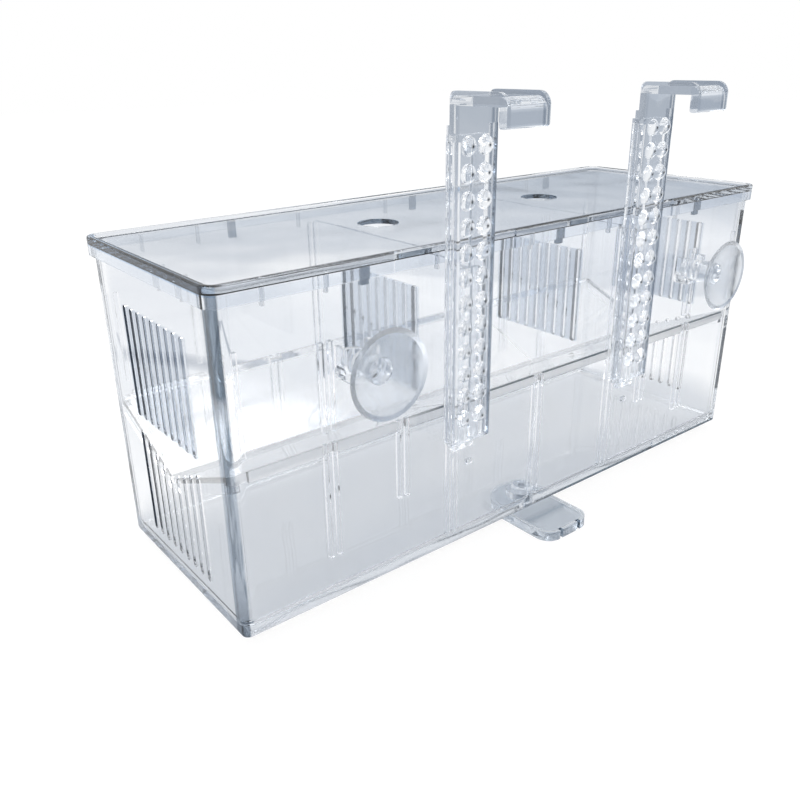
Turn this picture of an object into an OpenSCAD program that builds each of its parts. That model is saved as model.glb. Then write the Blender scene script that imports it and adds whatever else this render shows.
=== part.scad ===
// Hang-on fish breeding box: a clear tub with a lift-off lid, two sloping floor plates that
// leave a slit between them, two slotted dividers, two studded hooks, two suction cups
// and a spacer foot that swivels under the floor.
// X runs along the length, Y from the tank glass inwards, Z up.
// The origin is the middle of the tub's underside.

/* [Tub] */
// Outside length
tub_length = 266.1; // [256:0.1:276]
// Outside depth
tub_depth = 89.5; // [86:0.1:96]
// Outside height
tub_height = 113.2; // [112:0.1:120]
// Wall thickness
wall = 1.8; // [1.5:0.1:2.2]
// Floor thickness
floor_thick = 2.4; // [2:0.1:2.8]
// Rounding of the bottom edge
edge_radius = 1; // [0.6:0.1:1.2]
// Outside radius of the upright corners
corner_radius = 2.6; // [2.4:0.1:3.4]
// Inside radius of the upright corners, which are thicker than the walls
inner_radius = 4; // [3.6:0.1:4.4]

/* [Slots] */
// Slots in each group
slot_count = 9; // [7:1:9]
// Distance from slot to slot
slot_pitch = 5.45; // [5:0.05:5.6]
// Width of a slot
slot_width = 2.2; // [1.8:0.1:2.6]
// Lowest point of the upper slots
slot_low = 56.2; // [56:0.1:62]
// Highest point of the upper slots
slot_high = 96.1; // [90:0.1:100]
// Lowest point of the lower slots
drain_low = 10.3; // [8:0.1:16]

/* [Sloping floor] */
// Height of the sloping floor where the two plates would meet
ramp_low = 40; // [38:0.5:41]
// Rise of the sloping floor for each millimetre outwards
ramp_slope = 0.42; // [0.38:0.01:0.44]
// Thickness of a plate, measured upright
ramp_thick = 1.95; // [1.6:0.05:2.2]
// Width of the slit between the plates
slit = 3; // [2:0.1:4]

/* [Dividers] */
// Distance of each divider from the middle
divider_x = 44.3; // [42:0.1:45]
// Thickness of a divider
divider_thick = 1.6; // [1.4:0.1:1.8]

/* [Lid] */
// How far the lid stands out past the tub
lid_overhang = 1.95; // [1.8:0.05:2.4]
// Thickness of the lid's plate
lid_thick = 1.8; // [1.5:0.1:2.2]
// How far the skirt hangs below the tub's top
skirt_drop = 3.6; // [3:0.1:4]
// Diameter of a feed hole
feed_hole = 15; // [12:0.5:18]
// Distance of each feed hole from the middle
feed_x = 43; // [40:0.5:50]

/* [Hooks] */
// Distance of each hook from the middle
hook_x = 45.5; // [44:0.1:50]
// Width of the strap
strap_width = 17.6; // [17.4:0.1:19]
// Height of the top of the hook
hook_top = 160.4; // [158:0.1:163]
// Height of the strap's lower end
hook_bottom = 46.8; // [46:0.1:48]
// Width of the gap that takes the tank's glass and rim
glass_gap = 17.8; // [14:0.1:20]
// Rows of studs
stud_rows = 12; // [10:1:12]
// Distance from row to row
stud_pitch = 8.14; // [7.9:0.02:8.2]

/* [Suction cups] */
// Distance of each suction cup from the middle
cup_x = 88; // [86:0.1:92]
// Height of the cups' centres
cup_z = 85.3; // [80:0.1:88]
// Diameter of a cup's rim
cup_diameter = 28.8; // [26:0.1:32]

/* [Foot] */
// Distance from the near wall's outer face in to the pivot
pivot_inset = 8.05; // [8:0.05:12]
// Width of the foot
foot_width = 25.3; // [24:0.1:27]

/* [Hidden] */
$fn = 64;
half_length = tub_length / 2;
half_depth = tub_depth / 2;
inner_length = half_length - wall;
inner_depth = half_depth - wall;
eps = 0.01;
gap = 0.3;

// cove between floor and walls
cove_radius = 3.6;
cove_wide = 2.2;

// guide ribs on the long walls
rib_thick = 1.4;
rib_gap = divider_thick + 0.5;
rib_deep = 1.5;
guide_half = rib_gap / 2 + rib_thick;
guide_top = tub_height - 5.2;
rest_guide = 67;
outer_guide = 96.5;
end_guide = 128.7;
rest_guide_low = 28;
outer_guide_low = 16;
upper_guide_low = 62;
outer_guide_top = 92;
middle_guide_up = 2.8;
end_guide_top = 95.5;
guide_places = [-end_guide, -outer_guide, -rest_guide, -divider_x, 0,
    divider_x, rest_guide, outer_guide, end_guide];

// outer flange of a sloping plate
flange_out = inner_depth - gap;
flange_thick = 2.4;
flange_tall = 3.9;
flange_low = ramp_z(flange_out) - flange_tall;
plate_end = inner_length - gap;
notch_half = guide_half + gap;
notch_depth = rib_deep + gap;

// support ledge on each end wall
ledge_deep = 2.4;
ledge_tall = 3.9;

// dividers
divider_top = tub_height - 4.2;
divider_chamfer = 2;
divider_play = 0.45;

// hook rail: a T in plan
rail_low = 43;
rail_high = 108;
rail_web = 2.4;
rail_head = 9;
stop_x = 6.2;
stop_low = 32.4;
stop_size = [2.6, 1.2, 1.8];
head_back = half_depth + 4.15;
head_front = half_depth + 6.15;

// hook
strap_back = head_front + 0.4;
strap_thick = 2.7;
strap_front = strap_back + strap_thick;
lip_thick = 3;
lip_outer = strap_front + glass_gap + lip_thick;
lip_drop = 8.4;
arm_thick = 2.7;
shoulder = 4;
heel = 2;
nose = 1;
glass_deep = 10;
edge_wide = 1.4;
edge_high = 1.3;
channel_wall = 1.6;
channel_lip = 3.2;
channel_half = rail_head / 2 + 0.4 + channel_wall;
channel_back = half_depth + 2.45;
channel_top = hook_top - 13.4;
stud_radius = 3.1;
stud_high = 2.2;
stud_x = 3.5;
stud_top = hook_top - 14.4;

// cup bracket and cup
bracket_half = 6.4;
bracket_corner = 2;
bracket_low = cup_z - 5.8;
bracket_high = cup_z + 5.5;
bracket_back = half_depth + 3.95;
bracket_front = bracket_back + 1.8;
neck_radius = 2.5;
head_radius = 4.2;
head_play = 0.7;
head_edge = 0.8;
head_back_y = half_depth + 0.9;
head_long = bracket_back - gap - head_back_y;
hub_radius = 4.5;
cup_face = half_depth + 19.55;
dome_high = 5.5;
dome_thick = 1.1;

// lid
lid_l = tub_length + 2 * lid_overhang;
lid_d = tub_depth + 2 * lid_overhang;
lid_top = tub_height + lid_thick;
bead_wide = 2.4;
bead_high = 1.2;
recess_half = 26.5;
recess_deep = 0.8;
locate_drop = 6.2;
rib_stands = 1.6;
thin_rib = 0.9;
wide_rib = 2.8;
thin_ribs = [-116.5, -95, -51.5, -7.5, 36, 80];
wide_ribs = [-81, 7.5, 94];
end_ribs = [-23.6, -7.9];

// foot
pivot_y = -(half_depth - pivot_inset);
post_radius = 2.95;
bore_radius = 3;
boss_radius = 6.5;
boss_high = 5.4;
stem_radius = 1.5;
foot_top = -1.1;
foot_low = -4.1;
foot_tip = half_depth + 19.75;
tip_radius = 6.5;
foot_rim = 1.5;
pad_radius = 5;
foot_slit = 1.6;
foot_slit_x = 5;
foot_slit_deep = 1.4;
cap_radius = 4.4;

// height of the sloping floor at a distance out from the middle
function ramp_z(out) = ramp_low + ramp_slope * out;

module clear_plastic() {
    color([0.80, 0.86, 0.90, 0.45]) children();
}

module soft_plastic() {
    color([0.86, 0.88, 0.90, 0.7]) children();
}

module on_both_ends() {
    for (side = [0, 180]) {
        rotate([0, 0, side]) children();
    }
}

module on_both_walls() {
    children();
    mirror([0, 1, 0]) children();
}

module round_rect(length, depth, radius) {
    square([length - 2 * radius, depth], center = true);
    square([length, depth - 2 * radius], center = true);
    for (sx = [-1, 1], sy = [-1, 1]) {
        translate([sx * (length / 2 - radius), sy * (depth / 2 - radius)]) circle(radius);
    }
}

// carries a profile round a rounded rectangle; its x is measured outwards from the edge
module edge_sweep(length, depth, radius) {
    cx = length / 2 - radius;
    cy = depth / 2 - radius;
    for (turn = [0, 180]) {
        rotate([0, 0, turn]) {
            translate([cx + radius, cy, 0])
                rotate([90, 0, 0]) linear_extrude(2 * cy) children();
            translate([-cx, cy + radius, 0])
                rotate([90, 0, 90]) linear_extrude(2 * cx) children();
            translate([cx, cy, 0])
                rotate_extrude(angle = 90) translate([radius, 0]) children();
            translate([-cx, cy, 0])
                rotate([0, 0, 90]) rotate_extrude(angle = 90) translate([radius, 0]) children();
        }
    }
}

// one upright slot, rounded at both ends, cut along X
module slot(low, high) {
    rotate([90, 0, 90]) linear_extrude(3 * wall, center = true) {
        translate([-slot_width / 2, low + slot_width / 2])
            square([slot_width, high - low - slot_width]);
        translate([0, low + slot_width / 2]) circle(slot_width / 2);
        translate([0, high - slot_width / 2]) circle(slot_width / 2);
    }
}

module upper_slots() {
    for (i = [0 : slot_count - 1]) {
        translate([0, (i - (slot_count - 1) / 2) * slot_pitch, 0]) slot(slot_low, slot_high);
    }
}

// lower slots end just above the sloping floor, so their tops make a V
module lower_slots() {
    for (i = [0 : slot_count - 1]) {
        y = (i - (slot_count - 1) / 2) * slot_pitch;
        translate([0, y, 0]) slot(drain_low, ramp_z(abs(y)) + 1);
    }
}

// two ribs with a groove between them, on the far wall
module guide(x, low, high) {
    for (side = [-1, 1]) {
        translate([x + side * (rib_gap + rib_thick) / 2 - rib_thick / 2,
            inner_depth - rib_deep, low])
            cube([rib_thick, rib_deep + eps, high - low]);
    }
}

module wall_guides() {
    guide(0, floor_thick - eps, flange_low + middle_guide_up);
    for (side = [-1, 1]) {
        guide(side * divider_x, floor_thick - eps, guide_top);
        guide(side * rest_guide, rest_guide_low, flange_low + flange_tall);
        guide(side * outer_guide, outer_guide_low, flange_low + flange_tall);
        guide(side * outer_guide, upper_guide_low, outer_guide_top);
        guide(side * end_guide, upper_guide_low, end_guide_top);
    }
}

// what the rounding takes off the bottom edge
module bottom_round() {
    edge_sweep(tub_length, tub_depth, corner_radius) difference() {
        translate([-edge_radius, -1]) square([edge_radius + 1, edge_radius + 1]);
        translate([-edge_radius, edge_radius]) circle(edge_radius);
    }
}

// coved foot of the walls
module cove() {
    translate([0, 0, floor_thick])
        edge_sweep(2 * inner_length, 2 * inner_depth, inner_radius)
            difference() {
                translate([-cove_wide, -eps]) square([cove_wide + eps, cove_radius]);
                translate([-cove_radius, cove_radius]) circle(cove_radius);
            }
}

// V-shaped ledge across an end wall, which carries the ends of the sloping plates
module end_ledge() {
    reach = flange_out - flange_thick - gap;
    top = ramp_thick + 0.1;
    translate([inner_length - ledge_deep, 0, 0])
        rotate([90, 0, 90]) linear_extrude(ledge_deep + eps) polygon([
            [-reach, ramp_z(reach) - top],
            [0, ramp_z(0) - top],
            [reach, ramp_z(reach) - top],
            [reach, ramp_z(reach) - top - ledge_tall],
            [0, ramp_z(0) - top - ledge_tall],
            [-reach, ramp_z(reach) - top - ledge_tall],
        ]);
}

module hook_rail() {
    translate([-rail_web / 2, -head_back - eps, rail_low])
        cube([rail_web, head_back - half_depth + 2 * eps, rail_high - rail_low]);
    translate([-rail_head / 2, -head_front, rail_low])
        cube([rail_head, head_front - head_back, rail_high - rail_low]);
    translate([stop_x, -half_depth - stop_size[1], stop_low])
        cube([stop_size[0], stop_size[1] + eps, stop_size[2]]);
}

module cup_bracket() {
    translate([0, -half_depth + eps, 0]) difference() {
        rotate([90, 0, 0]) linear_extrude(bracket_front - half_depth + eps) {
            translate([-bracket_half, bracket_low + bracket_corner])
                square([2 * bracket_half, bracket_high - bracket_low - bracket_corner]);
            translate([-bracket_half + bracket_corner, bracket_low])
                square([2 * (bracket_half - bracket_corner), 3]);
            for (side = [-1, 1]) {
                translate([side * (bracket_half - bracket_corner), bracket_low + bracket_corner])
                    circle(bracket_corner);
            }
        }
        translate([0, -(bracket_back - half_depth) - eps, 0])
            rotate([-90, 0, 0]) linear_extrude(bracket_back - half_depth) {
                translate([0, -cup_z]) circle(head_radius + head_play);
                translate([-head_radius - head_play, -cup_z - 10])
                    square([2 * (head_radius + head_play), 10]);
            }
        rotate([90, 0, 0]) linear_extrude(20) {
            translate([0, cup_z]) circle(neck_radius + gap);
            translate([-neck_radius - gap, cup_z]) square([2 * (neck_radius + gap), 10]);
        }
    }
}

module tub() {
    clear_plastic() difference() {
        union() {
            difference() {
                linear_extrude(tub_height) round_rect(tub_length, tub_depth, corner_radius);
                translate([0, 0, floor_thick]) linear_extrude(tub_height)
                    round_rect(2 * inner_length, 2 * inner_depth, inner_radius);
                bottom_round();
                on_both_ends() translate([half_length - wall / 2, 0, 0]) {
                    upper_slots();
                    lower_slots();
                }
            }
            cove();
            on_both_walls() wall_guides();
            on_both_ends() end_ledge();
            for (side = [-1, 1]) {
                translate([side * hook_x, 0, 0]) hook_rail();
                translate([side * cup_x, 0, 0]) cup_bracket();
            }
            translate([0, pivot_y, eps]) cylinder(r = boss_radius, h = boss_high - eps);
        }
        translate([0, pivot_y, -1]) cylinder(r = bore_radius, h = boss_high + 2);
    }
}

// one sloping plate, drawn on the far side
module ramp() {
    clear_plastic() difference() {
        intersection() {
            translate([-plate_end, 0, 0])
                rotate([90, 0, 90]) linear_extrude(2 * plate_end) polygon([
                    [slit / 2, ramp_z(slit / 2)],
                    [flange_out, ramp_z(flange_out)],
                    [flange_out, flange_low],
                    [flange_out - flange_thick, flange_low],
                    [flange_out - flange_thick, ramp_z(flange_out - flange_thick) - ramp_thick],
                    [slit / 2, ramp_z(slit / 2) - ramp_thick],
                ]);
            linear_extrude(tub_height)
                round_rect(2 * plate_end, 2 * flange_out, inner_radius);
        }
        for (x = guide_places) {
            translate([x - notch_half, inner_depth - notch_depth, 0])
                cube([2 * notch_half, notch_depth, tub_height]);
        }
    }
}

module near_ramp() {
    mirror([0, 1, 0]) ramp();
}

module far_ramp() {
    ramp();
}

// slotted panel whose lower edge follows the V of the sloping floor
module divider() {
    reach = inner_depth - divider_play;
    clear_plastic() difference() {
        translate([-divider_thick / 2, 0, 0])
            rotate([90, 0, 90]) linear_extrude(divider_thick) polygon([
                [-reach, ramp_z(reach) + gap],
                [0, ramp_z(0) + gap],
                [reach, ramp_z(reach) + gap],
                [reach, divider_top - divider_chamfer],
                [reach - divider_chamfer, divider_top],
                [-reach + divider_chamfer, divider_top],
                [-reach, divider_top - divider_chamfer],
            ]);
        upper_slots();
    }
}

module left_divider() {
    translate([-divider_x, 0, 0]) divider();
}

module right_divider() {
    translate([divider_x, 0, 0]) divider();
}

// lid's edge in one profile: skirt, edge and raised bead, bevelled on top
module lid_edge() {
    bevel = 0.7;
    crown = lid_thick + bead_high;
    skirt_in = lid_overhang - gap;
    translate([0, 0, tub_height])
        edge_sweep(lid_l, lid_d, corner_radius + lid_overhang) polygon([
            [0, -skirt_drop],
            [0, crown - bevel],
            [-bevel * 0.3, crown - bevel * 0.3],
            [-bevel, crown],
            [-bead_wide + bevel, crown],
            [-bead_wide + bevel * 0.3, crown - bevel * 0.3],
            [-bead_wide, crown - bevel],
            [-bead_wide, 0],
            [-skirt_in, 0],
            [-skirt_in, -skirt_drop],
        ]);
}

// small rib under the lid that keeps it centred in the tub, on the far side
module locating_rib(x, width) {
    translate([x - width / 2, inner_depth - gap - rib_stands, tub_height - locate_drop])
        cube([width, rib_stands, locate_drop + 1]);
}

module lid() {
    clear_plastic() difference() {
        union() {
            lid_edge();
            translate([0, 0, tub_height]) linear_extrude(lid_thick)
                round_rect(lid_l - bead_wide, lid_d - bead_wide,
                    corner_radius + lid_overhang - bead_wide / 2);
            on_both_walls() {
                for (x = thin_ribs) {
                    locating_rib(x, thin_rib);
                }
                for (x = wide_ribs) {
                    locating_rib(x, wide_rib);
                }
            }
            for (y = end_ribs) {
                translate([-inner_length + gap, y - thin_rib / 2, tub_height - locate_drop])
                    cube([rib_stands, thin_rib, locate_drop + 1]);
            }
        }
        for (side = [-1, 1]) {
            translate([side * feed_x, 0, tub_height - 1]) cylinder(d = feed_hole, h = 6);
            translate([side * hook_x, -lid_d / 2, tub_height - 10]) linear_extrude(20) {
                translate([-recess_half, -2])
                    square([2 * recess_half, 2 + recess_deep]);
            }
        }
    }
}

// domed stud on the strap's front
module stud() {
    ball = (stud_radius * stud_radius + stud_high * stud_high) / (2 * stud_high);
    rotate([90, 0, 0]) rotate_extrude() intersection() {
        translate([0, stud_high - ball]) circle(ball);
        translate([0, -0.5]) square([stud_radius, stud_high + 1]);
    }
}

// what the tank's glass takes up in a hook's side view
module glass_space() {
    translate([strap_front, hook_top - arm_thick - glass_deep]) square([glass_gap, glass_deep]);
}

// side view of a hook, x outwards and y up
module hook_profile() {
    difference() {
        union() {
            translate([strap_back, hook_bottom + nose])
                square([strap_thick, hook_top - hook_bottom - nose - heel]);
            translate([strap_back + nose, hook_bottom]) square([strap_thick - 2 * nose, 2 * nose]);
            translate([strap_back + heel, hook_top - arm_thick])
                square([lip_outer - strap_back - heel - shoulder, arm_thick]);
            translate([lip_outer - lip_thick, hook_top - lip_drop + nose])
                square([lip_thick, lip_drop - nose - shoulder]);
            translate([lip_outer - lip_thick + nose, hook_top - lip_drop])
                square([lip_thick - 2 * nose, 2 * nose]);
            translate([strap_back + heel, hook_top - heel]) circle(heel);
            translate([lip_outer - shoulder, hook_top - shoulder]) circle(shoulder);
            for (x = [strap_back + nose, strap_front - nose]) {
                translate([x, hook_bottom + nose]) circle(nose);
            }
            for (x = [lip_outer - nose, lip_outer - lip_thick + nose]) {
                translate([x, hook_top - lip_drop + nose]) circle(nose);
            }
        }
        glass_space();
    }
}

// raised edge of the arm, from the strap's corner down over the lip's shoulder
module edge_profile() {
    difference() {
        union() {
            translate([strap_back + heel, hook_top - 1])
                square([lip_outer - strap_back - heel - shoulder, 1 + edge_high]);
            translate([strap_back + heel, hook_top - heel + edge_high]) circle(heel);
            translate([lip_outer - shoulder, hook_top - shoulder + edge_high]) circle(shoulder);
            translate([strap_back, hook_top - heel - shoulder])
                square([heel, shoulder + edge_high]);
            translate([lip_outer - 2, hook_top - lip_drop + 2])
                square([2, lip_drop - 2 - shoulder + edge_high]);
        }
        glass_space();
    }
}

module hook() {
    clear_plastic() {
        translate([-strap_width / 2, 0, 0])
            rotate([90, 0, 90]) linear_extrude(strap_width) mirror([1, 0]) hook_profile();
        for (x = [-strap_width / 2, strap_width / 2 - edge_wide]) {
            translate([x, 0, 0])
                rotate([90, 0, 90]) linear_extrude(edge_wide) mirror([1, 0]) edge_profile();
            translate([x, -strap_back - eps, hook_bottom + 1])
                cube([edge_wide, edge_high, channel_top - hook_bottom + 4]);
        }
        for (row = [0 : stud_rows - 1], side = [-1, 1]) {
            translate([side * stud_x, -strap_front, stud_top - row * stud_pitch]) stud();
        }
        translate([0, 0, hook_bottom]) linear_extrude(channel_top - hook_bottom) {
            for (side = [-1, 1]) {
                translate([side * (channel_half - channel_wall / 2), 0]) {
                    translate([-channel_wall / 2, -strap_back - eps])
                        square([channel_wall, strap_back - channel_back + eps]);
                    translate([-side * channel_lip / 2 - channel_lip / 2, -channel_back - 1.4])
                        square([channel_lip, 1.4]);
                }
            }
        }
        translate([-channel_half, -strap_back - eps, channel_top - eps])
            cube([2 * channel_half, strap_back - channel_back + eps, 2]);
    }
}

module left_hook() {
    translate([-hook_x, 0, 0]) hook();
}

module right_hook() {
    translate([hook_x, 0, 0]) hook();
}

// turned about the Y axis: dome with its open side outwards, hub, neck and button head
module cup() {
    rim = cup_diameter / 2;
    ball = (rim * rim + dome_high * dome_high) / (2 * dome_high);
    middle = cup_face - dome_high + ball;
    soft_plastic() translate([0, 0, cup_z]) rotate([90, 0, 0]) rotate_extrude() {
        intersection() {
            difference() {
                translate([0, middle]) circle(ball);
                translate([0, middle]) circle(ball - dome_thick);
            }
            translate([0, cup_face - dome_high - 1]) square([rim + 1, dome_high + 1]);
        }
        translate([0, bracket_front + gap])
            square([hub_radius, cup_face - dome_high - bracket_front + 0.6]);
        translate([0, bracket_back - 2]) square([neck_radius, 5]);
        translate([0, head_back_y]) square([head_radius - head_edge, head_long]);
        translate([0, head_back_y + head_edge]) square([head_radius, head_long - head_edge]);
        translate([head_radius - head_edge, head_back_y + head_edge]) circle(head_edge);
    }
}

module left_cup() {
    translate([-cup_x, 0, 0]) cup();
}

module right_cup() {
    translate([cup_x, 0, 0]) cup();
}

// outline of the foot, inset all round
module foot_outline(inset) {
    half = foot_width / 2 - inset;
    tip = foot_tip - inset;
    round_end = tip_radius - inset;
    translate([0, pivot_y]) circle(half);
    translate([-half, -(tip - round_end)]) square([2 * half, tip - round_end + pivot_y]);
    for (side = [-1, 1]) {
        translate([side * (half - round_end), -(tip - round_end)]) circle(round_end);
    }
    translate([-half + round_end, -tip]) square([2 * (half - round_end), round_end]);
}

module foot() {
    clear_plastic() difference() {
        union() {
            translate([0, 0, foot_low]) linear_extrude(foot_top - foot_low) foot_outline(0);
            translate([0, 0, foot_top - eps]) linear_extrude(0.8) difference() {
                foot_outline(0);
                foot_outline(foot_rim);
            }
            translate([0, pivot_y, foot_top - eps]) cylinder(r = pad_radius, h = -foot_top - 0.1);
            translate([0, pivot_y, foot_top - eps])
                cylinder(r = post_radius, h = boss_high + 0.1 - foot_top);
        }
        translate([0, pivot_y, 0]) cylinder(r = stem_radius, h = 20);
        for (x = [-foot_slit_x, foot_slit_x]) {
            translate([x - foot_slit / 2, -foot_tip - 1, foot_low - 1])
                cube([foot_slit, 1 + foot_slit_deep, 6]);
        }
    }
}

module foot_cap() {
    clear_plastic() translate([0, pivot_y, boss_high + 0.1]) {
        cylinder(r = cap_radius, h = 0.8);
        translate([0, 0, 0.8]) cylinder(r1 = cap_radius, r2 = cap_radius - 0.8, h = 0.8);
        translate([0, 0, -5]) cylinder(r = stem_radius, h = 5 + eps);
    }
}

tub();
lid();
near_ramp();
far_ramp();
left_divider();
right_divider();
left_hook();
right_hook();
left_cup();
right_cup();
foot();
foot_cap();
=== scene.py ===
import math
import bpy
from mathutils import Matrix, Vector

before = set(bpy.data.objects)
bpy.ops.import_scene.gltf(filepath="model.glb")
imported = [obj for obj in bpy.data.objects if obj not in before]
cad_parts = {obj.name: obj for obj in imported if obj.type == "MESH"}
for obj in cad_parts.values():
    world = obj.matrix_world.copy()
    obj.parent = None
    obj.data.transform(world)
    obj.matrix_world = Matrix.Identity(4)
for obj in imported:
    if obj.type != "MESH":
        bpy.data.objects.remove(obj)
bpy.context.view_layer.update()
print("stage: frame loaded,", len(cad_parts), "nodes")

cameraSizes = {
    "place": (-0.2229, -0.2400, 0.1711),  # metres
    "yaw": 38.21,  # degrees from +Y towards +X
    "pitch": 22.93,  # degrees down
    "roll": -0.82,
    "lens": 36.58,
    "sensor": 36,
    "nearest": 0.01,
    "farthest": 20,
}


def addCamera(sizes):
    yaw, pitch, roll = (math.radians(sizes[name]) for name in ("yaw", "pitch", "roll"))
    level = math.cos(pitch)
    ahead = Vector((math.sin(yaw) * level, math.cos(yaw) * level, -math.sin(pitch)))
    right = ahead.cross(Vector((0, 0, 1))).normalized()
    up = right.cross(ahead)
    tiltedRight = right * math.cos(roll) + up * math.sin(roll)
    tiltedUp = up * math.cos(roll) - right * math.sin(roll)
    turn = Matrix((tiltedRight, tiltedUp, -ahead)).transposed().to_4x4()
    data = bpy.data.cameras.new("camera")
    data.sensor_width = sizes["sensor"]
    data.lens = sizes["lens"]
    data.clip_start = sizes["nearest"]
    data.clip_end = sizes["farthest"]
    camera = bpy.data.objects.new("camera", data)
    bpy.context.scene.collection.objects.link(camera)
    camera.matrix_world = Matrix.Translation(sizes["place"]) @ turn
    bpy.context.scene.camera = camera


addCamera(cameraSizes)
bpy.context.scene.view_settings.view_transform = "Standard"
print("stage: camera placed")


def node(tree, kind, **settings):
    made = tree.nodes.new(kind)
    for name, setting in settings.items():
        setattr(made, name, setting)
    return made


def link(tree, source, target):
    tree.links.new(source, target)


def startGroup(name, inlets, outlets):
    group = bpy.data.node_groups.new(name, "ShaderNodeTree")
    for title in inlets:
        group.interface.new_socket(title, in_out="INPUT", socket_type="NodeSocketFloat")
    for title in outlets:
        group.interface.new_socket(title, in_out="OUTPUT", socket_type="NodeSocketFloat")
    inlet = node(group, "NodeGroupInput")
    outlet = node(group, "NodeGroupOutput")
    return group, inlet.outputs, outlet.inputs


def objectPlace(tree):
    place = node(tree, "ShaderNodeTexCoord").outputs["Object"]
    split = node(tree, "ShaderNodeSeparateXYZ")
    link(tree, place, split.inputs[0])
    return (place, *split.outputs)


def value(tree, operation, first, second=None, clamp=False):
    made = node(tree, "ShaderNodeMath", operation=operation, use_clamp=clamp)
    for socket, source in zip(made.inputs, (first, second)):
        if isinstance(source, (int, float)):
            socket.default_value = source
        elif source is not None:
            link(tree, source, socket)
    return made.outputs[0]


def apart(tree, source, middle):
    return value(tree, "ABSOLUTE", value(tree, "SUBTRACT", source, middle))


def diagonal(tree, first, second):
    squares = [value(tree, "MULTIPLY", side, side) for side in (first, second)]
    return value(tree, "SQRT", value(tree, "ADD", *squares))


def product(tree, first, *others):
    for other in others:
        first = value(tree, "MULTIPLY", first, other)
    return first


def between(tree, source, low, high):
    return product(tree, value(tree, "GREATER_THAN", source, low), value(tree, "LESS_THAN", source, high))


def fadeIn(tree, source, start, reach):
    return value(tree, "DIVIDE", value(tree, "SUBTRACT", source, start), reach, clamp=True)


def fadeOut(tree, away, reach, start=1.0):
    return value(tree, "SUBTRACT", start, value(tree, "DIVIDE", away, reach), clamp=True)


def mapped(tree, source, lowest, highest, **settings):
    spread = node(tree, "ShaderNodeMapRange", **settings)
    spread.inputs["From Min"].default_value = lowest
    spread.inputs["From Max"].default_value = highest
    link(tree, source, spread.inputs["Value"])
    return spread.outputs["Result"]


def toneRamp(tree, source, stops):
    ramp = node(tree, "ShaderNodeValToRGB")
    marks = ramp.color_ramp.elements
    while len(marks) < len(stops):
        marks.new(0.5)
    for mark, (position, colour) in zip(marks, stops):
        mark.position = position
        mark.color = (*colour, 1)
    link(tree, source, ramp.inputs["Fac"])
    return ramp.outputs["Color"]


def tinted(tree, base, mask, colour):
    mix = node(tree, "ShaderNodeMix", data_type="RGBA")
    link(tree, mask, mix.inputs["Factor"])
    for socket, source in (("A", base), ("B", colour)):
        if isinstance(source, tuple):
            mix.inputs[socket].default_value = (*source, 1)
        else:
            link(tree, source, mix.inputs[socket])
    return mix.outputs["Result"]


def lowest(name):
    return [min(places) for places in zip(*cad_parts[name].bound_box)]


def highest(name):
    return [max(places) for places in zip(*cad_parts[name].bound_box)]


tubEnd, tubSide, tubTop = highest("tub")
lidEnd, lidSide, _ = highest("lid")
hookLeft, hookFront, _ = lowest("right_hook")
hookRight, _, hookTop = highest("right_hook")
_, trayFront, _ = lowest("near_ramp")
_, _, trayTop = highest("near_ramp")
_, footFront, footUnder = lowest("foot")
footSide, _, _ = highest("foot")

surfaceSizes = {
    "waveDetail": 1.0,
    "hazeDetail": 3.0,
    "hazeFrom": 0.35,
    "hazeTo": 0.7,
    "hazeRough": 2.5,  # roughness in full haze, against clear plastic
    "bumpDepth": 0.001,
}


def makeMouldGroup(sizes):
    group, inlet, outlet = startGroup("mouldedSurface", ["waveScale", "hazeScale"], ["height", "haze"])
    place = node(group, "ShaderNodeTexCoord").outputs["Object"]
    noises = []
    for name in ("wave", "haze"):
        noise = node(group, "ShaderNodeTexNoise")
        noise.inputs["Detail"].default_value = sizes[name + "Detail"]
        link(group, place, noise.inputs["Vector"])
        link(group, inlet[name + "Scale"], noise.inputs["Scale"])
        noises.append(noise.outputs["Fac"])
    wave, haze = noises
    link(group, wave, outlet["height"])
    link(group, mapped(group, haze, sizes["hazeFrom"], sizes["hazeTo"]), outlet["haze"])
    return group


slotSizes = {
    "pitch": 0.00545,
    "radius": 0.0011,
    "low": 0.0562,  # upper row
    "high": 0.0961,
    "drainLow": 0.0103,  # lower row, its tops rising outwards along the V
    "slopeLow": 0.041,
    "slope": 0.42,
    "reach": 0.0218,  # from the middle of a group to its last slot
    "edge": 0.00022,
    "upperPower": 4.0,
    "upperLeast": 0.25,
    "lowerPower": 8.0,
    "lowerLeast": 0.12,
    "lowerEnds": 0.7,
}


def slotRim(tree, along, height, low, high, sizes):
    middle = value(tree, "MULTIPLY", value(tree, "ADD", low, high), 0.5)
    straight = value(tree, "SUBTRACT", value(tree, "SUBTRACT", high, middle), sizes["radius"])
    past = value(tree, "SUBTRACT", apart(tree, height, middle), straight)
    away = diagonal(tree, value(tree, "MAXIMUM", past, 0.0), along)
    return fadeOut(tree, apart(tree, away, sizes["radius"]), sizes["edge"])


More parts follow.
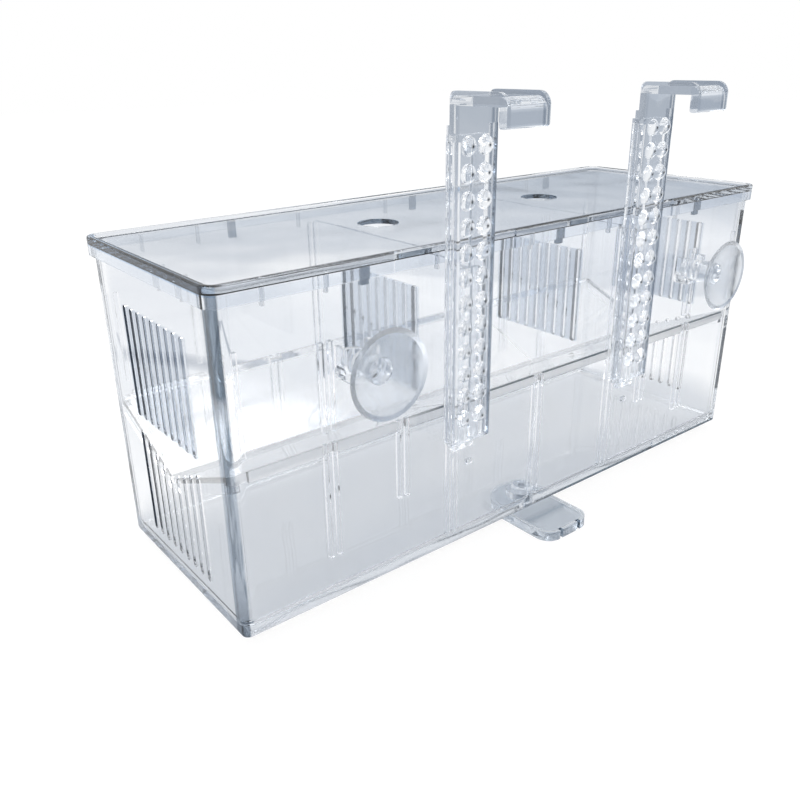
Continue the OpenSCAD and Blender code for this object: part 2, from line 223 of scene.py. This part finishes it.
# painted shade: dark rims on the slot edges and a grey-blue tint over the slotted band, standing in for the
# dark refraction at the slots
def makeSlotGroup(sizes):
    group, inlet, outlet = startGroup("slotRimShade", ["lopsided"], ["rimShade", "barShade"])
    _, x, y, z = objectPlace(group)
    steps = value(group, "ROUND", value(group, "DIVIDE", y, sizes["pitch"]))
    along = value(group, "SUBTRACT", y, value(group, "MULTIPLY", steps, sizes["pitch"]))
    out = value(group, "ABSOLUTE", y)
    slope = value(group, "ADD", value(group, "MULTIPLY", out, sizes["slope"]), sizes["slopeLow"])
    upper = slotRim(group, along, z, sizes["low"], sizes["high"], sizes)
    lower = slotRim(group, along, z, sizes["drainLow"], slope, sizes)
    inGroup = value(group, "LESS_THAN", out, sizes["reach"] + 2 * sizes["radius"])

    # painted shade: the dark slot rims darken towards both ends of a group, or towards one where it is
    # lopsided
    side = value(group, "MULTIPLY", value(group, "SIGN", x), y)
    sideFade = fadeOut(group, side, 2 * sizes["reach"], 0.5)
    evenFade = value(group, "DIVIDE", out, sizes["reach"], clamp=True)
    evenShare = value(group, "SUBTRACT", 1.0, inlet["lopsided"])
    fade = value(group, "ADD", value(group, "MULTIPLY", evenFade, evenShare),
                 value(group, "MULTIPLY", sideFade, inlet["lopsided"]))
    upperFade = value(group, "MAXIMUM", value(group, "POWER", fade, sizes["upperPower"]), sizes["upperLeast"])
    ends = value(group, "LESS_THAN", z, sizes["drainLow"] + 2 * sizes["radius"])
    lowerFade = value(group, "MAXIMUM", value(group, "POWER", fade, sizes["lowerPower"]),
                      value(group, "MULTIPLY", ends, sizes["lowerEnds"]))
    lowerFade = value(group, "MAXIMUM", lowerFade, sizes["lowerLeast"])
    rimShade = value(group, "MAXIMUM", product(group, upper, upperFade), product(group, lower, lowerFade))
    link(group, product(group, rimShade, inGroup), outlet["rimShade"])
    link(group, product(group, between(group, z, sizes["low"], sizes["high"]), inGroup), outlet["barShade"])
    return group


cornerSizes = {
    "startX": tubEnd - 0.0023,
    "startY": tubSide - 0.0058,
    "soft": 0.0005,
    "others": 0.15,  # strength away from the near left corner
    "stretch": (420, 420, 45),  # painted shade streaks are tall and thin
    "streakDetail": 2.0,
    "streakFrom": 0.50,
    "streakTo": 0.62,
    "hemTop": 0.0017,  # painted shade: a dark line along the near bottom edge, growing to the right
    "hemFront": 0.00115 - tubSide,
    "hemStart": -0.06,
    "hemReach": 0.08,
}


# painted shade: dark slate tones at the wall corners, strongest at the near left one, broken by streaks, and
# a painted dark line along the near bottom edge
def makeCornerGroup(sizes):
    group, _, outlet = startGroup("cornerShade", [], ["corner", "shadeStreaks", "bottomEdgeShade"])
    place, x, y, z = objectPlace(group)
    endWall = fadeIn(group, value(group, "ABSOLUTE", x), sizes["startX"], sizes["soft"])
    longWall = fadeIn(group, value(group, "ABSOLUTE", y), sizes["startY"], sizes["soft"])
    nearLeft = product(group, value(group, "LESS_THAN", x, 0.0), value(group, "LESS_THAN", y, 0.0))
    corner = product(group, endWall, longWall, value(group, "MAXIMUM", nearLeft, sizes["others"]))
    link(group, corner, outlet["corner"])

    stretched = node(group, "ShaderNodeVectorMath", operation="MULTIPLY")
    stretched.inputs[1].default_value = sizes["stretch"]
    link(group, place, stretched.inputs[0])
    grain = node(group, "ShaderNodeTexNoise")
    grain.inputs["Scale"].default_value = 1.0
    grain.inputs["Detail"].default_value = sizes["streakDetail"]
    link(group, stretched.outputs[0], grain.inputs["Vector"])
    shadeStreaks = mapped(group, grain.outputs["Fac"], sizes["streakFrom"], sizes["streakTo"])
    link(group, product(group, corner, shadeStreaks), outlet["shadeStreaks"])

    bottomEdgeShade = product(group, value(group, "LESS_THAN", z, sizes["hemTop"]),
                  value(group, "LESS_THAN", y, sizes["hemFront"]),
                  fadeIn(group, x, sizes["hemStart"], sizes["hemReach"]))
    link(group, bottomEdgeShade, outlet["bottomEdgeShade"])
    return group


lidSizes = {
    "insideX": lidEnd - 0.0035,  # the ribs hang inside this outline, the skirt outside it
    "insideY": lidSide - 0.0035,
    "hangTop": tubTop - 0.0001,
    "ribStrength": 0.35,
    "wideRibs": (-0.081, 0.0075, 0.094),
    "wideHalf": 0.0016,
    "holeX": 0.043,
    "holeRadius": 0.0075,
    "holeEdge": 0.0002,
    "endX": 0.003 - lidEnd,
    "endLow": tubTop - 0.0002,
}


# painted shade on the lid: a grey-blue tint on the outer skirt, dark hole walls, dark ribs and a slate tint
# on the left rim
def makeLidGroup(sizes):
    group, _, outlet = startGroup("lidShade", [], ["skirt", "holes", "ribs", "ends"])
    _, x, y, z = objectPlace(group)
    out = value(group, "ABSOLUTE", x)
    inside = product(group, value(group, "LESS_THAN", out, sizes["insideX"]),
                     value(group, "LESS_THAN", value(group, "ABSOLUTE", y), sizes["insideY"]))
    hanging = value(group, "LESS_THAN", z, sizes["hangTop"])
    link(group, product(group, value(group, "SUBTRACT", 1.0, inside), hanging), outlet["skirt"])

    strength = sizes["ribStrength"]
    for middle in sizes["wideRibs"]:
        wide = value(group, "LESS_THAN", apart(group, x, middle), sizes["wideHalf"])
        strength = value(group, "MAXIMUM", wide, strength)
    link(group, product(group, inside, hanging, strength), outlet["ribs"])

    away = diagonal(group, value(group, "SUBTRACT", out, sizes["holeX"]), y)
    wall = apart(group, away, sizes["holeRadius"])
    link(group, value(group, "LESS_THAN", wall, sizes["holeEdge"]), outlet["holes"])
    leftRim = product(group, value(group, "LESS_THAN", x, sizes["endX"]),
                      value(group, "GREATER_THAN", z, sizes["endLow"]))
    link(group, leftRim, outlet["ends"])
    return group


studSizes = {
    "hookX": (hookLeft + hookRight) / 2,
    "studX": 0.0035,
    "top": hookTop - 0.0157,
    "pitch": 0.00814,
    "tip": -0.0562,
    "tipNear": 0.0004,
    "dot": 0.0006,
    "dotCore": 1.5,  # above 1, so that the middle of a dot is fully dark
    "lineX": 0.0080,
    "lineHalf": 0.0009,
    "leftLine": 0.35,
    "lip": hookFront + 0.0033,
}


# painted shade on the hooks: a grey-blue tint on the lip, dark lines along the strap's edge ridges and dark
# dots in the middle of the studs
def makeStudGroup(sizes):
    group, _, outlet = startGroup("studShade", [], ["lip", "lineShade", "dotShade"])
    _, x, y, z = objectPlace(group)
    link(group, value(group, "LESS_THAN", y, sizes["lip"]), outlet["lip"])

    # across the strap, positive to the right on both hooks
    across = value(group, "SUBTRACT", value(group, "ABSOLUTE", x), sizes["hookX"])
    across = value(group, "MULTIPLY", across, value(group, "SIGN", x))
    out = value(group, "ABSOLUTE", across)
    line = value(group, "SQRT", fadeOut(group, apart(group, out, sizes["lineX"]), sizes["lineHalf"]))
    right = value(group, "GREATER_THAN", across, 0.0)
    lineShade = product(group, line, value(group, "MAXIMUM", right, sizes["leftLine"]))
    link(group, lineShade, outlet["lineShade"])

    rows = value(group, "DIVIDE", value(group, "SUBTRACT", z, sizes["top"]), sizes["pitch"])
    up = value(group, "SUBTRACT", rows, value(group, "ROUND", rows))
    away = diagonal(group, value(group, "SUBTRACT", out, sizes["studX"]),
                    value(group, "MULTIPLY", up, sizes["pitch"]))
    atTip = value(group, "LESS_THAN", apart(group, y, sizes["tip"]), sizes["tipNear"])
    link(group, product(group, fadeOut(group, away, sizes["dot"], sizes["dotCore"]), atTip), outlet["dotShade"])
    return group


footSizes = {
    "top": footUnder + 0.003,
    "topNear": 0.0004,
    "plateX": footSide - 0.00145,
    "shadeY": -0.0510,
    "shadeHalf": 0.0035,
    "slitX": 0.005,
    "slitHalf": 0.0009,
    "slitY": footFront + 0.0019,
}


# painted shade on the foot: a grey tint on the top plate, a darker band across it (a painted reflection of
# the wall's edge) and dark slit walls
def makeFootGroup(sizes):
    group, _, outlet = startGroup("footShade", [], ["plate", "shade", "slits"])
    _, x, y, z = objectPlace(group)
    out = value(group, "ABSOLUTE", x)
    plate = product(group, value(group, "LESS_THAN", apart(group, z, sizes["top"]), sizes["topNear"]),
                    value(group, "LESS_THAN", out, sizes["plateX"]))
    link(group, plate, outlet["plate"])
    shade = fadeOut(group, apart(group, y, sizes["shadeY"]), sizes["shadeHalf"])
    link(group, product(group, plate, shade), outlet["shade"])
    slit = value(group, "LESS_THAN", apart(group, out, sizes["slitX"]), sizes["slitHalf"])
    link(group, product(group, slit, value(group, "LESS_THAN", y, sizes["slitY"])), outlet["slits"])
    return group


traySizes = {
    "lineLow": trayTop - 0.0007,  # painted shade: a dark line on the near plate's outer edge, growing to the right
    "lineFront": trayFront + 0.00115,
    "lineStart": -0.075,
    "lineReach": 0.025,
    "mattFrom": -0.00265 - trayFront,  # matt outer edge, on the near side only
    "mattSoft": 0.0005,
}


# painted shade line on the near plate's edge, and a rougher matt edge
def makeTrayGroup(sizes):
    group, _, outlet = startGroup("trayShadeAndMatt", [], ["line", "matt"])
    _, x, y, z = objectPlace(group)
    line = product(group, value(group, "GREATER_THAN", z, sizes["lineLow"]),
                   value(group, "LESS_THAN", y, sizes["lineFront"]),
                   fadeIn(group, x, sizes["lineStart"], sizes["lineReach"]))
    link(group, line, outlet["line"])
    nearness = value(group, "MULTIPLY", y, -1.0)
    link(group, fadeIn(group, nearness, sizes["mattFrom"], sizes["mattSoft"]), outlet["matt"])
    return group


mouldGroup = makeMouldGroup(surfaceSizes)
markGroups = {
    "slots": makeSlotGroup(slotSizes),
    "corners": makeCornerGroup(cornerSizes),
    "lid": makeLidGroup(lidSizes),
    "studs": makeStudGroup(studSizes),
    "foot": makeFootGroup(footSizes),
    "tray": makeTrayGroup(traySizes),
}

boxPlastic = {"ior": 1.5, "deepTint": (0.30, 0.38, 0.48),
              "rough": 0.015, "wave": 0.25, "waveScale": 25.0, "hazeScale": 40.0}
smallPlastic = {"ior": 1.5, "deepTint": (0.30, 0.37, 0.46),
                "rough": 0.02, "wave": 0.2, "waveScale": 60.0, "hazeScale": 80.0}
# painted shade over the slotted band of the walls
barShadeTint = (0.64, 0.69, 0.76)

# marks: for each group, the tint of each of its masks, in the order they are laid on; these tints are painted
# shade, with a painted reflection on the foot
finishes = {
    "tub": {
        **boxPlastic,
        "tint": (0.955, 0.965, 0.98),
        "haze": (0.965, 0.972, 0.982),
        "density": 4.0,
        "lopsided": 1.0,
        "marks": {
            # painted shade on the tub's slot rims and slotted band
            "slots": {"barShade": barShadeTint, "rimShade": (0.004, 0.007, 0.012)},
            "corners": {
                "corner": [  # painted shade tones on the corners, from the floor up to the rim
                    (0.0, (0.05, 0.075, 0.11)),
                    (0.22, (0.42, 0.49, 0.58)),
                    (0.66, (0.46, 0.52, 0.60)),
                    (0.74, (0.02, 0.035, 0.055)),
                    (1.0, (0.04, 0.06, 0.085)),
                ],
                # painted shade streaks in the corners and a painted dark line along the bottom edge
                "shadeStreaks": (0.10, 0.14, 0.19),
                "bottomEdgeShade": (0.03, 0.05, 0.07),
            },
        },
    },
    "lid": {
        **boxPlastic,
        "tint": (0.956, 0.962, 0.972),
        "haze": (0.964, 0.968, 0.975),
        "density": 7.0,
        "marks": {
            # painted shade on the skirt, hole walls, ribs and left rim
            "lid": {"skirt": (0.87, 0.90, 0.94), "holes": (0.12, 0.16, 0.21),
                    "ribs": (0.13, 0.18, 0.24), "ends": (0.46, 0.60, 0.78)},
        },
    },
    "divider": {
        **boxPlastic,
        "tint": (0.965, 0.972, 0.982),
        "haze": (0.97, 0.977, 0.985),
        "density": 6.0,
        "lopsided": 0.0,
        # painted shade on the divider's slot rims and slotted band
        "marks": {"slots": {"barShade": barShadeTint, "rimShade": (0.01, 0.016, 0.024)}},
    },
    "tray": {
        "ior": 1.5,
        "tint": (0.98, 0.983, 0.988),
        "haze": (0.985, 0.987, 0.99),
        "density": 0.0,
        "rough": 0.05,
        "mattRough": 0.35,
        "wave": 0.3,
        "waveScale": 30.0,
        "hazeScale": 50.0,
        # painted shade line on the near plate's edge
        "marks": {"tray": {"line": (0.01, 0.02, 0.03)}},
    },
    "hook": {
        **smallPlastic,
        "tint": (0.925, 0.94, 0.96),
        "haze": (0.94, 0.951, 0.966),
        "density": 4.0,
        "marks": {
            # painted shade on the lip, ridge lines and stud dots
            "studs": {"lip": (0.83, 0.86, 0.90), "lineShade": (0.17, 0.22, 0.29), "dotShade": (0.002, 0.004, 0.007)},
        },
    },
    "foot": {
        **smallPlastic,
        "tint": (0.88, 0.905, 0.93),
        "haze": (0.90, 0.92, 0.94),
        "density": 8.0,
        "marks": {
            # painted shade on the plate and slits, with a painted reflection band
            "foot": {"plate": (0.64, 0.69, 0.75), "shade": (0.28, 0.34, 0.41), "slits": (0.10, 0.14, 0.19)},
        },
    },
    "cup": {
        "ior": 1.42,
        "tint": (0.87, 0.895, 0.925),
        "haze": (0.90, 0.915, 0.935),
        "deepTint": (0.30, 0.37, 0.46),
        "density": 18.0,
        "rough": 0.09,
        "wave": 0.2,
        "waveScale": 120.0,
        "hazeScale": 200.0,
        "marks": {},
    },
}
wearing = {
    "tub": ["tub"],
    "lid": ["lid"],
    "divider": ["left_divider", "right_divider"],
    "tray": ["near_ramp", "far_ramp"],
    "hook": ["left_hook", "right_hook"],
    "foot": ["foot", "foot_cap"],
    "cup": ["left_cup", "right_cup"],
}


def toneByHeight(tree, stops):
    _, _, _, height = objectPlace(tree)
    return toneRamp(tree, value(tree, "MULTIPLY", height, 1 / tubTop), stops)


def clearPlastic(name, sizes):
    material = bpy.data.materials.new(name)
    material.use_nodes = True
    tree = material.node_tree
    shader = tree.nodes["Principled BSDF"]
    shader.inputs["Transmission Weight"].default_value = 1.0
    shader.inputs["IOR"].default_value = sizes["ior"]
    surface = node(tree, "ShaderNodeGroup", node_tree=mouldGroup)
    for scale in ("waveScale", "hazeScale"):
        surface.inputs[scale].default_value = sizes[scale]

    colour = tinted(tree, sizes["tint"], surface.outputs["haze"], sizes["haze"])
    rough = node(tree, "ShaderNodeMapRange")
    rough.inputs["To Min"].default_value = sizes["rough"]
    rough.inputs["To Max"].default_value = sizes["rough"] * surfaceSizes["hazeRough"]
    link(tree, surface.outputs["haze"], rough.inputs["Value"])
    roughness = rough.outputs["Result"]
    for groupName, tints in sizes["marks"].items():
        marks = node(tree, "ShaderNodeGroup", node_tree=markGroups[groupName])
        if "lopsided" in marks.inputs:
            marks.inputs["lopsided"].default_value = sizes["lopsided"]
        for mask, tint in tints.items():
            tone = toneByHeight(tree, tint) if isinstance(tint, list) else tint
            colour = tinted(tree, colour, marks.outputs[mask], tone)
        if "matt" in marks.outputs:
            matt = value(tree, "MULTIPLY", marks.outputs["matt"], sizes["mattRough"])
            roughness = value(tree, "MAXIMUM", roughness, matt)
    link(tree, colour, shader.inputs["Base Color"])
    link(tree, roughness, shader.inputs["Roughness"])

    bump = node(tree, "ShaderNodeBump")
    bump.inputs["Strength"].default_value = sizes["wave"]
    bump.inputs["Distance"].default_value = surfaceSizes["bumpDepth"]
    link(tree, surface.outputs["height"], bump.inputs["Height"])
    link(tree, bump.outputs["Normal"], shader.inputs["Normal"])
    if sizes["density"] > 0:
        depth = node(tree, "ShaderNodeVolumeAbsorption")  # slate where light runs far inside a wall
        depth.inputs["Color"].default_value = (*sizes["deepTint"], 1)
        depth.inputs["Density"].default_value = sizes["density"]
        link(tree, depth.outputs["Volume"], tree.nodes["Material Output"].inputs["Volume"])
    return material


for finish, names in wearing.items():
    plastic = clearPlastic(finish + "Plastic", finishes[finish])
    for name in names:
        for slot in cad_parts[name].material_slots:
            slot.material = plastic
print("stage: plastics made")


studioSizes = {
    "floorZ": footUnder - 0.0001,
    "floorHalf": 3.0,
    "floorGlow": 0.88,
    "paper": (0.9, 0.9, 0.9),
    "cameraTone": (1.03, 1.03, 1.03),  # the camera itself sees plain white
    "underReach": (0.175, 0.085, 1),
    "underShadowTones": [  # painted shadow of the box on the table under it; 0.5 is the reach above
        (0.47, (0.64, 0.67, 0.71)),
        (0.56, (1.0, 1.0, 1.0)),
    ],
    "depthTurn": 57.8,  # degrees from +Y towards +X
    "depthReach": 2.0,
    "depthTones": [  # metres along the depth of the table, to the room behind
        (0.335, (1.0, 1.0, 1.0)),
        (0.345, (0.75, 0.77, 0.80)),
        (0.56, (0.86, 0.88, 0.91)),
        (0.84, (0.46, 0.51, 0.58)),
        (1.40, (0.38, 0.43, 0.50)),
    ],
    "shades": [  # soft shades on the table: middle, reach and tone
        ((-0.02, 0.27), 0.20, (0.76, 0.79, 0.83)),
        ((0.0, 0.42), 0.14, (0.68, 0.71, 0.76)),
        ((0.36, -0.20), 0.14, (0.38, 0.43, 0.50)),
    ],
    "bandDepth": 0.094,  # a grey band behind the left end
    "bandHalf": 0.013,
    "bandFrom": 0.19,
    "bandTo": 0.32,
    "bandTone": (0.22, 0.27, 0.35),
    "roomTurn": 60.0,
    "roomFrom": 0.55,  # cosines from the room's middle: where its tone starts and is full
    "roomTo": 0.85,
    "roomTop": 0.26,  # heights in the sky: where its tone ends and is full
    "roomLow": 0.20,
    "roomTone": (0.50, 0.55, 0.62),
    "skyTone": (0.98, 0.99, 1.0),
    "bounces": 64,  # light crosses many clear walls
}
lampSizes = {
    "overhead": {"place": (0.1, 0.2, 1.1), "aim": (0, 0, 0), "width": 0.9, "height": 0.6,
                 "power": 9, "mirrored": False},  # kept out of the lid's mirror
    "leftFront": {"place": (-1.0, -0.7, 0.8), "aim": (0, 0, 0.05), "width": 0.7, "height": 0.7,
                  "power": 6, "mirrored": True},
}


def depthAlong(tree, place, turn):
    along = node(tree, "ShaderNodeVectorMath", operation="DOT_PRODUCT")
    along.inputs[1].default_value = (math.sin(math.radians(turn)), math.cos(math.radians(turn)), 0)
    link(tree, place, along.inputs[0])
    return along.outputs["Value"]


def tableTone(tree, sizes):
    place, _, y, _ = objectPlace(tree)
    footprint = node(tree, "ShaderNodeVectorMath", operation="DIVIDE")
    footprint.inputs[1].default_value = sizes["underReach"]
    reach = node(tree, "ShaderNodeVectorMath", operation="LENGTH")
    link(tree, place, footprint.inputs[0])
    link(tree, footprint.outputs[0], reach.inputs[0])
    # painted shadow under the box, for rays through the plastic; the camera sees plain white
    underShadow = toneRamp(tree, value(tree, "MULTIPLY", reach.outputs["Value"], 0.5), sizes["underShadowTones"])

    along = depthAlong(tree, place, sizes["depthTurn"])
    stops = [(depth / sizes["depthReach"], colour) for depth, colour in sizes["depthTones"]]
    depth = toneRamp(tree, value(tree, "DIVIDE", along, sizes["depthReach"]), stops)
    table = node(tree, "ShaderNodeMix", data_type="RGBA", blend_type="MULTIPLY")
    table.inputs["Factor"].default_value = 1.0
    link(tree, underShadow, table.inputs["A"])
    link(tree, depth, table.inputs["B"])
    tone = table.outputs["Result"]

    for middle, spread, shade in sizes["shades"]:
        away = node(tree, "ShaderNodeVectorMath", operation="DISTANCE")
        away.inputs[1].default_value = (*middle, 0)
        link(tree, place, away.inputs[0])
        near = value(tree, "SQRT", fadeOut(tree, away.outputs["Value"], spread))
        tone = tinted(tree, tone, near, shade)
    band = value(tree, "SQRT", fadeOut(tree, apart(tree, along, sizes["bandDepth"]), sizes["bandHalf"]))
    behind = between(tree, y, sizes["bandFrom"], sizes["bandTo"])
    return tinted(tree, tone, product(tree, band, behind), sizes["bandTone"])


def makeFloor(sizes):
    half = sizes["floorHalf"]
    corners = [(-half, -half), (half, -half), (half, half), (-half, half)]
    mesh = bpy.data.meshes.new("studioFloor")
    mesh.from_pydata([(x, y, sizes["floorZ"]) for x, y in corners], [], [(0, 1, 2, 3)])
    floor = bpy.data.objects.new("studioFloor", mesh)
    bpy.context.scene.collection.objects.link(floor)
    material = bpy.data.materials.new("studioFloor")
    material.use_nodes = True
    tree = material.node_tree
    tree.nodes.clear()

    # diffuse rays meet paper, all others a glow: white for the camera, toned through the plastic
    path = node(tree, "ShaderNodeLightPath")
    paper = node(tree, "ShaderNodeBsdfDiffuse")
    paper.inputs["Color"].default_value = (*sizes["paper"], 1)
    tone = tinted(tree, tableTone(tree, sizes), path.outputs["Is Camera Ray"], sizes["cameraTone"])
    glow = node(tree, "ShaderNodeEmission")
    link(tree, tone, glow.inputs["Color"])
    seen = value(tree, "SUBTRACT", 1.0, path.outputs["Is Diffuse Ray"])
    mix = node(tree, "ShaderNodeMixShader")
    link(tree, value(tree, "MULTIPLY", seen, sizes["floorGlow"]), mix.inputs["Fac"])
    link(tree, paper.outputs[0], mix.inputs[1])
    link(tree, glow.outputs[0], mix.inputs[2])
    out = node(tree, "ShaderNodeOutputMaterial")
    link(tree, mix.outputs[0], out.inputs["Surface"])
    mesh.materials.append(material)


def makeWorld(sizes):
    world = bpy.data.worlds.new("studio")
    bpy.context.scene.world = world
    world.use_nodes = True
    tree = world.node_tree
    tree.nodes.clear()
    place = node(tree, "ShaderNodeTexCoord").outputs["Generated"]
    split = node(tree, "ShaderNodeSeparateXYZ")
    link(tree, place, split.inputs[0])
    ahead = depthAlong(tree, place, sizes["roomTurn"])
    soft = {"interpolation_type": "SMOOTHSTEP"}
    wide = mapped(tree, ahead, sizes["roomFrom"], sizes["roomTo"], **soft)
    low = mapped(tree, split.outputs["Z"], sizes["roomTop"], sizes["roomLow"], **soft)
    tone = tinted(tree, sizes["skyTone"], product(tree, wide, low), sizes["roomTone"])
    around = node(tree, "ShaderNodeBackground")
    link(tree, tone, around.inputs["Color"])

    white = node(tree, "ShaderNodeBackground")
    white.inputs["Color"].default_value = (1, 1, 1, 1)
    path = node(tree, "ShaderNodeLightPath")
    mix = node(tree, "ShaderNodeMixShader")
    link(tree, path.outputs["Is Camera Ray"], mix.inputs["Fac"])
    link(tree, around.outputs[0], mix.inputs[1])
    link(tree, white.outputs[0], mix.inputs[2])
    out = node(tree, "ShaderNodeOutputWorld")
    link(tree, mix.outputs[0], out.inputs["Surface"])


def softbox(name, sizes):
    data = bpy.data.lights.new(name, "AREA")
    data.shape = "RECTANGLE"
    data.size = sizes["width"]
    data.size_y = sizes["height"]
    data.energy = sizes["power"]
    lamp = bpy.data.objects.new(name, data)
    bpy.context.scene.collection.objects.link(lamp)
    lamp.location = sizes["place"]
    ahead = Vector(sizes["aim"]) - Vector(sizes["place"])
    lamp.rotation_euler = ahead.to_track_quat("-Z", "Y").to_euler()
    lamp.visible_glossy = sizes["mirrored"]


makeFloor(studioSizes)
makeWorld(studioSizes)
for name, sizes in lampSizes.items():
    softbox(name, sizes)
bounces = studioSizes["bounces"]
bpy.context.scene.cycles.max_bounces = bounces
bpy.context.scene.cycles.transmission_bounces = bounces
bpy.context.scene.cycles.glossy_bounces = bounces
print("stage: studio lit")
